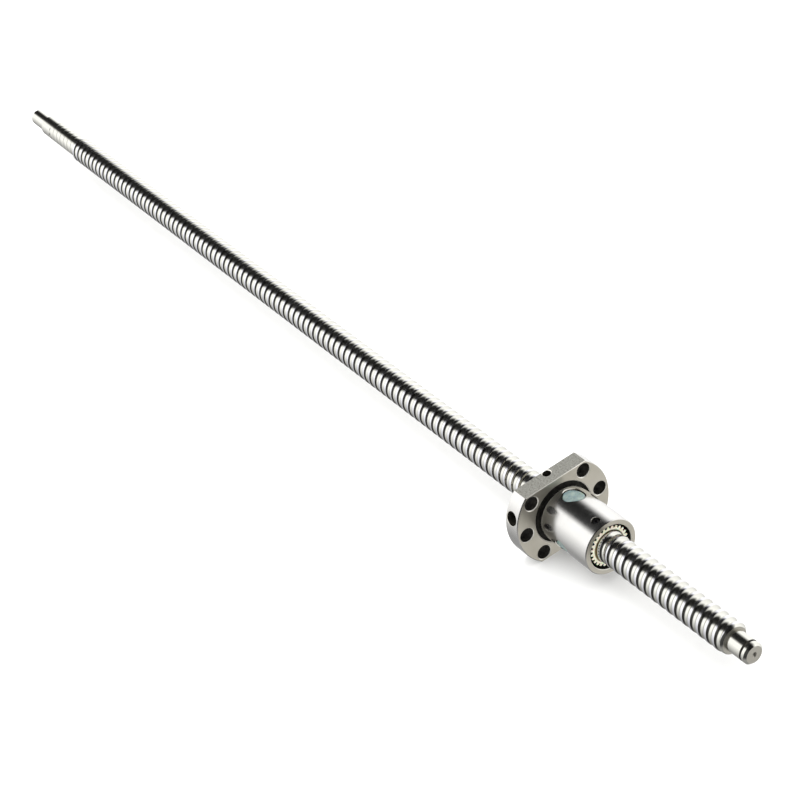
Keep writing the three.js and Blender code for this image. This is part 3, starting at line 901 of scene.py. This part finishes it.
def return_channel(circuit):
    """The channel under a deflector that lifts the balls over one land of the screw."""
    half_sweep = math.radians(RETURN_HALF_SWEEP)
    rings = []
    for step in range(-CHANNEL_STEPS, CHANNEL_STEPS + 1):
        along = step / CHANNEL_STEPS
        angle = along * half_sweep
        radius = BALL_CIRCLE_RADIUS + RETURN_LIFT * math.cos(along * math.pi / 2) ** 2
        shift = -LEAD / 2 * math.sin(along * math.pi / 2) + LEAD * angle / (2 * math.pi) * abs(along)
        across = Vector((1, 0, 0))
        up = Vector((0, -math.sin(angle), math.cos(angle)))
        middle = Vector((shift, -radius * math.sin(angle), radius * math.cos(angle)))
        rings.append([middle + across * y + up * z
                      for y, z in circle(RETURN_CHANNEL_RADIUS, CHANNEL_SEGMENTS)])
    rings.insert(0, [sum(rings[0], Vector()) / len(rings[0])])
    rings.append([sum(rings[-1], Vector()) / len(rings[-1])])
    return deflector_place(skin(rings, [0] * (len(rings) - 1)), circuit)


def return_deflector(circuit, plastic):
    """A moulded plug whose outer face follows the nut's round, with a rounded rim."""
    outer = NUT_RADIUS - DEFLECTOR_RECESS
    inner = NUT_BORE_RADIUS
    half_width = DEFLECTOR_WIDTH / 2
    rings = [[(0, 0, outer)]]
    for share in DEFLECTOR_RING_SHARES:
        rings.append(deflector_outline(-half_width * (1 - share), drum_radius=outer))
    for step in range(LIP_STEPS + 1):
        angle = math.pi / 2 * step / LIP_STEPS
        inset = DEFLECTOR_EDGE * (1 - math.sin(angle))
        drop = DEFLECTOR_EDGE * (1 - math.cos(angle))
        rings.append(deflector_outline(-inset, drum_radius=outer - drop))
    rings.append(deflector_outline(0, drum_radius=inner))
    rings.append(deflector_outline(-half_width / 2, drum_radius=inner))
    rings.append([(0, 0, inner)])
    bm = deflector_place(skin(rings, [0] * (len(rings) - 1)), circuit)
    piece = object_of(f"deflector_{circuit + 1}", bm, [plastic])
    cut_away(piece, [return_channel(circuit)], [plastic])
    finish_piece(piece, "nut", [f"return_deflector_{circuit + 1}"])


# ---- Wipers ------------------------------------------------------------------------------------


def screw_radius_at(x, azimuth):
    """The screw's surface radius, for the lip of a wiper that follows the thread."""
    phase = (x - track_at_top + LEAD * azimuth / 360) % LEAD
    from_middle = min(phase, LEAD - phase)
    outline = track_outline(LAND_RADIUS, 1)
    half = outline[len(outline) // 2:]
    return np.interp(from_middle, [p for p, _ in half], [r for _, r in half])


def tooth_height(share):
    """A tooth's outline over the angle from one tooth to the next: root, flank, tip, flank."""
    return float(np.interp(share, WIPER_TOOTH, (0.0, 0.0, 1.0, 1.0, 0.0)))


def wiper(name, node, body, low, high):
    """A toothed nylon ring with a threaded lip that runs in the screw's tracks."""
    tip = high.y
    root = tip - WIPER_TOOTH_DEPTH
    columns = WIPER_TOOTH_COUNT * TOOTH_COLUMNS
    rings = []
    for column in range(columns):
        azimuth = 360 * column / columns
        share = (column % TOOTH_COLUMNS) / TOOTH_COLUMNS
        outer = root + (tip - root) * tooth_height(share)
        section = [
            (low.x, outer - WIPER_CHAMFER),
            (low.x + WIPER_CHAMFER, outer),
            (high.x - WIPER_CHAMFER, outer),
            (high.x, outer - WIPER_CHAMFER),
            (high.x, WIPER_BORE_RADIUS + 2 * WIPER_CHAMFER),
        ]
        for row in range(WIPER_BORE_ROWS + 1):
            x = high.x - WIPER_CHAMFER + (low.x - high.x + 2 * WIPER_CHAMFER) * row / WIPER_BORE_ROWS
            lip = screw_radius_at(x, azimuth) + WIPER_LIP_CLEARANCE
            section.append((x, min(WIPER_BORE_RADIUS, lip)))
        section.append((low.x, WIPER_BORE_RADIUS + 2 * WIPER_CHAMFER))
        turn = math.radians(azimuth)
        rings.append([(x, radius * math.sin(turn), radius * math.cos(turn)) for x, radius in section])
    bm = skin(rings, [CLEAN] * columns, closed=True)
    # Painted shade: the toothed outer rim between the chamfers takes the dark nylon.
    inner_side = low.x + WIPER_CHAMFER / 2, high.x - WIPER_CHAMFER / 2
    for face in bm.faces:
        middle = face.calc_center_median()
        outside = math.hypot(middle.y, middle.z) > root - WIPER_CHAMFER
        if outside and inner_side[0] < middle.x < inner_side[1]:
            face.material_index = NOTCH_SHADE
    piece = object_of(name, bm, wiper_finishes)
    finish_piece(piece, body, [node])


# ---- Set screws and balls ----------------------------------------------------------------------


def set_screw(name, node, x, azimuth, tip, head, steel):
    """A socket set screw with a cone tip, a ridged shank and a six-sided socket."""
    root = SET_SCREW_RADIUS - SET_SCREW_THREAD_DEPTH
    ridges = int((head - tip) / SET_SCREW_THREAD_PITCH) - 1
    profile = [(tip, 0, 0), (tip, root / 2, 0), (tip + root / 2, root, 0)]
    for ridge in range(ridges):
        start = tip + root / 2 + ridge * SET_SCREW_THREAD_PITCH
        if start + SET_SCREW_THREAD_PITCH < head - SET_SCREW_THREAD_DEPTH:
            profile.append((start + SET_SCREW_THREAD_PITCH / 2, SET_SCREW_RADIUS, 0))
            profile.append((start + SET_SCREW_THREAD_PITCH, root, 0))
    profile += [(head - SET_SCREW_THREAD_DEPTH, root, 0), (head, root - SET_SCREW_THREAD_DEPTH, 0)]
    profile.append((head, 0, 0))
    floor = head - SET_SCREW_SOCKET_DEPTH
    socket = turned([
        (floor - SET_SCREW_SOCKET_RADIUS / 2, 0, 0),
        (floor, SET_SCREW_SOCKET_RADIUS, 0),
        (head + CUT_MARGIN, SET_SCREW_SOCKET_RADIUS, 0),
        (head + CUT_MARGIN, 0, 0),
    ], HEX_SIDES)
    piece = object_of(name, placed(upright(turned(profile, HOLE_SEGMENTS)), x, azimuth), [steel])
    cut_away(piece, [placed(upright(socket), x, azimuth)], [steel])
    finish_piece(piece, "nut", [node])


def bearing_balls(steel):
    """A fine ball in the place of each faceted one."""
    bm = bmesh.new()
    bmesh.ops.create_icosphere(bm, subdivisions=BALL_SUBDIVISIONS, radius=BALL_RADIUS)
    first = object_of("bearing_ball", bm, [steel], sharp=180.0)
    mesh = first.data
    bpy.data.objects.remove(first)
    for node in sorted(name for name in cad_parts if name.startswith("ball_")):
        low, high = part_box(node)
        piece = bpy.data.objects.new(f"bearing_{node}", mesh)
        piece.location = (low + high) / 2
        bpy.context.scene.collection.objects.link(piece)
        finish_piece(piece, "nut", [node])


# ---- The studio --------------------------------------------------------------------------------

CAMERA_PLACE = Vector((0.67115, -0.26232, 0.48602))
CAMERA_FORWARD = Vector((-0.73641, 0.31746, -0.59743))
CAMERA_UP = Vector((-0.40907, 0.49442, 0.76695))
CAMERA_LENS = 95.05
CAMERA_NEAR = 0.01

FLOOR_SIZE = 12.0
FLOOR_COLOUR = (0.93, 0.93, 0.92)
OVERHEAD_HEIGHT = 1.6
OVERHEAD_SIZE = 2.2
OVERHEAD_POWER = 27.0
WHITE = (1, 1, 1, 1)
DOME_STRENGTH = 1.12               # of the plain white that the floor and the plastics are lit by

# Brightness of the light tent that the steel mirrors, by azimuth: a long unlit gap overhead,
# between two soft boxes that run along the screw.
TENT_AROUND = ((-180, 0.4), (-152, 0.45), (-140, 0.6), (-116, 0.95), (-92, 1.4), (-76, 1.75),
               (-37, 1.8), (-26, 0.5), (-18, 0.05), (8, 0.012), (32, 0.02), (40, 0.25), (52, 1.15),
               (62, 1.75), (100, 1.6), (180, 0.4))

# How much of that is left by the lean of a direction along +X, from -1 to 1. The tent is open at
# its floating end, and its seam at the fixed end is grey.
TENT_ALONG = ((-1, 0.3), (-0.965, 0.35), (-0.90, 1.0), (0.32, 1.0), (0.56, 0.06), (1, 0.03))

# The least that is left of it, by the lean along +Y. The +Y wall runs on past the open end.
TENT_SIDE = ((-1, 0), (0.35, 0), (0.7, 1), (1, 1))

# A white card that the flange's face and the nose mirror in the main view: full within the larger
# cosine of its middle, and gone at the smaller.
CARD_DIRECTION = Vector((0.736, 0.317, -0.597))
CARD_EDGE = (0.78, 0.95)
CARD_STRENGTH = 0.85


def camera():
    """The main view."""
    data = bpy.data.cameras.new("camera")
    data.lens = CAMERA_LENS
    data.clip_start = CAMERA_NEAR
    eye = bpy.data.objects.new("camera", data)
    back = -CAMERA_FORWARD
    right = CAMERA_UP.cross(back).normalized()
    up = back.cross(right).normalized()
    eye.matrix_world = Matrix.Translation(CAMERA_PLACE) @ Matrix((right, up, back)).transposed().to_4x4()
    bpy.context.scene.collection.objects.link(eye)
    bpy.context.scene.camera = eye


def studio_floor():
    """White paper under the part; the steel mirrors the light tent instead of it."""
    low = min(Vector(corner).z for corner in cad_bounds)
    bm = bmesh.new()
    bmesh.ops.create_grid(bm, x_segments=1, y_segments=1, size=FLOOR_SIZE / MM / 2)
    bmesh.ops.translate(bm, vec=(0, 0, low / MM), verts=bm.verts)
    shader = Shader("floor_paper", FLOOR_COLOUR, 0.9, Specular_IOR_Level=0.0)
    paper = object_of("floor", bm, [shader.material])
    paper.visible_glossy = False


def overhead_light():
    """Lights the floor and the plastic from above; the steel doesn't mirror it."""
    data = bpy.data.lights.new("overhead", "AREA")
    data.shape = "SQUARE"
    data.size = OVERHEAD_SIZE
    data.energy = OVERHEAD_POWER
    lamp = bpy.data.objects.new("overhead", data)
    lamp.location = (0, 0, OVERHEAD_HEIGHT)
    lamp.visible_glossy = False
    bpy.context.scene.collection.objects.link(lamp)


def brightness_ramp(nodes, links, value, lowest, highest, table):
    """A grey ramp through rows of (value, brightness); returns its colour and its brightest level."""
    share = nodes.new("ShaderNodeMapRange")
    share.inputs["From Min"].default_value = lowest
    share.inputs["From Max"].default_value = highest
    links.new(value, share.inputs["Value"])
    ramp = nodes.new("ShaderNodeValToRGB")
    elements = ramp.color_ramp.elements
    while len(elements) < len(table):
        elements.new(0.5)
    brightest = max(level for _, level in table)
    first, last = table[0][0], table[-1][0]
    for element, (place, level) in zip(elements, table):
        element.position = (place - first) / (last - first)
        grey = level / brightest
        element.color = (grey, grey, grey, 1.0)
    links.new(share.outputs["Result"], ramp.inputs["Fac"])
    return ramp.outputs["Color"], brightest


def math_of(nodes, links, operation, first, second):
    """The result of a math node on one socket and a second socket or number."""
    node = nodes.new("ShaderNodeMath")
    node.operation = operation
    links.new(first, node.inputs[0])
    if isinstance(second, bpy.types.NodeSocket):
        links.new(second, node.inputs[1])
    else:
        node.inputs[1].default_value = second
    return node.outputs[0]


def tent_light(nodes, links, generated, tent):
    """Feeds the tent's background with its brightness in every direction."""
    direction = nodes.new("ShaderNodeSeparateXYZ")
    links.new(generated, direction.inputs[0])
    azimuth = math_of(nodes, links, "ARCTAN2", direction.outputs["Y"], direction.outputs["Z"])
    around, brightest = brightness_ramp(nodes, links, azimuth, -math.pi, math.pi, TENT_AROUND)
    along, _ = brightness_ramp(nodes, links, direction.outputs["X"], -1, 1, TENT_ALONG)
    side, _ = brightness_ramp(nodes, links, direction.outputs["Y"], -1, 1, TENT_SIDE)
    share = math_of(nodes, links, "MAXIMUM", along, side)
    links.new(around, tent.inputs["Color"])
    links.new(math_of(nodes, links, "MULTIPLY", share, brightest), tent.inputs["Strength"])


def card_light(nodes, links, generated, card):
    """Feeds the card's background, which fades out round its middle."""
    towards_card = nodes.new("ShaderNodeVectorMath")
    towards_card.operation = "DOT_PRODUCT"
    towards_card.inputs[1].default_value = CARD_DIRECTION.normalized()
    links.new(generated, towards_card.inputs[0])
    on_card = nodes.new("ShaderNodeMapRange")
    on_card.interpolation_type = "SMOOTHSTEP"
    on_card.inputs["From Min"].default_value = CARD_EDGE[0]
    on_card.inputs["From Max"].default_value = CARD_EDGE[1]
    on_card.inputs["To Max"].default_value = CARD_STRENGTH
    links.new(towards_card.outputs["Value"], on_card.inputs["Value"])
    card.inputs["Color"].default_value = WHITE
    links.new(on_card.outputs["Result"], card.inputs["Strength"])


def light_tent():
    """The soft light that the steel mirrors. Everything else is lit by a plain white dome."""
    world = bpy.data.worlds.new("light_tent")
    world.use_nodes = True
    nodes, links = world.node_tree.nodes, world.node_tree.links
    generated = nodes.new("ShaderNodeTexCoord").outputs["Generated"]
    tent = nodes["Background"]
    tent_light(nodes, links, generated, tent)
    card = nodes.new("ShaderNodeBackground")
    card_light(nodes, links, generated, card)
    surroundings = nodes.new("ShaderNodeAddShader")
    links.new(tent.outputs[0], surroundings.inputs[0])
    links.new(card.outputs[0], surroundings.inputs[1])
    dome = nodes.new("ShaderNodeBackground")
    dome.inputs["Color"].default_value = WHITE
    dome.inputs["Strength"].default_value = DOME_STRENGTH
    either = nodes.new("ShaderNodeMixShader")
    links.new(nodes.new("ShaderNodeLightPath").outputs["Is Glossy Ray"], either.inputs[0])
    links.new(dome.outputs[0], either.inputs[1])
    links.new(surroundings.outputs[0], either.inputs[2])
    links.new(either.outputs[0], nodes["World Output"].inputs["Surface"])
    bpy.context.scene.world = world


# ---- Assembly ----------------------------------------------------------------------------------

camera()
studio_floor()
overhead_light()
light_tent()
bpy.context.scene.view_settings.view_transform = "Standard"

screw_shaft()
nut_body()
plastic = deflector_plastic()
for number in range(DEFLECTOR_COUNT):
    return_deflector(number, plastic)
wiper("front_wiper_ring", "front_wiper", "nut", front_wiper_low, front_wiper_high)
wiper("rear_wiper_ring", "rear_wiper", "nut_carriage", rear_wiper_low, rear_wiper_high)

black_steel = set_screw_steel()
screw_tip = front_wiper_high.y + SET_SCREW_GAP
set_screw("front_wiper_set_screw", "front_set_screw", nut_back + FRONT_SET_SCREW_X,
          FRONT_SET_SCREW_AZIMUTH, screw_tip, screw_tip + FRONT_SET_SCREW_LENGTH, black_steel)
set_screw("rear_wiper_set_screw", "rear_set_screw", nut_back + REAR_SET_SCREW_X, 0,
          screw_tip, screw_tip + REAR_SET_SCREW_LENGTH, black_steel)
bearing_balls(ball_steel())
